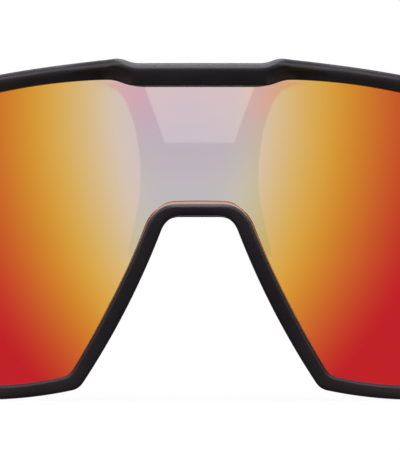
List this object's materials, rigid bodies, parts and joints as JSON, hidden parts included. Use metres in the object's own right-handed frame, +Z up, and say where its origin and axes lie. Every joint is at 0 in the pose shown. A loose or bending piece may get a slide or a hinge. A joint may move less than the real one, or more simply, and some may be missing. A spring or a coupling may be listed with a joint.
{
  "type": "glacier glasses",
  "caption": "Wrap-around glacier glasses with a one-piece cylindrical mirrored shield lens in a matte black full rim, stand-off brow bar, nose saddle and folding temples.",
  "frame": {"origin": "bottom centre of the bounding box, on the surface the unfolded glasses stand on", "axes": "+X towards the wearer's left, +Y from the lens back along the temples, +Z up; the front faces -Y"},
  "size_m": [0.1388, 0.1552, 0.0608],
  "materials": {
    "frame_nylon": "injection-moulded matte black nylon",
    "mirror_lens": "polished polycarbonate with a multilayer mirror coat, red at the rim to gold and pale pink at the centre",
    "clip_nylon": "moulded matte nylon",
    "nose_elastomer": "soft matte elastomer",
    "hinge_steel": "tumbled stainless steel",
    "screw_steel": "bright turned steel",
    "washer_nylon": "natural nylon sheet",
    "temple_nylon": "injection-moulded matte black nylon",
    "core_steel": "drawn annealed steel wire",
    "grip_elastomer": "soft matte elastomer"
  },
  "bodies": {
    "front": {"front_frame": "frame_nylon", "shield_lens": "mirror_lens", "nose_clip": "clip_nylon", "nose_saddle": "nose_elastomer", "left_front_leaf": "hinge_steel", "left_front_leaf_screws": "screw_steel", "left_hinge_screw": "screw_steel", "left_hinge_washers": "washer_nylon", "right_front_leaf": "hinge_steel", "right_front_leaf_screws": "screw_steel", "right_hinge_screw": "screw_steel", "right_hinge_washers": "washer_nylon"},
    "left_temple": {"left_temple_leaf": "hinge_steel", "left_temple_leaf_screws": "screw_steel", "left_temple_arm": "temple_nylon", "left_temple_core": "core_steel", "left_ear_grip": "grip_elastomer"},
    "right_temple": {"right_temple_leaf": "hinge_steel", "right_temple_leaf_screws": "screw_steel", "right_temple_arm": "temple_nylon", "right_temple_core": "core_steel", "right_ear_grip": "grip_elastomer"}
  },
  "joints": [
    {"name": "left_temple_fold", "type": "hinge", "parent": "front", "child": "left_temple", "pos_m": [0.0646, -0.03312, 0.0402], "axis": [0, 0, 1], "range_deg": [0, 95]},
    {"name": "right_temple_fold", "type": "hinge", "parent": "front", "child": "right_temple", "pos_m": [-0.0646, -0.03312, 0.0402], "axis": [0, 0, -1], "range_deg": [0, 84]}
  ]
}
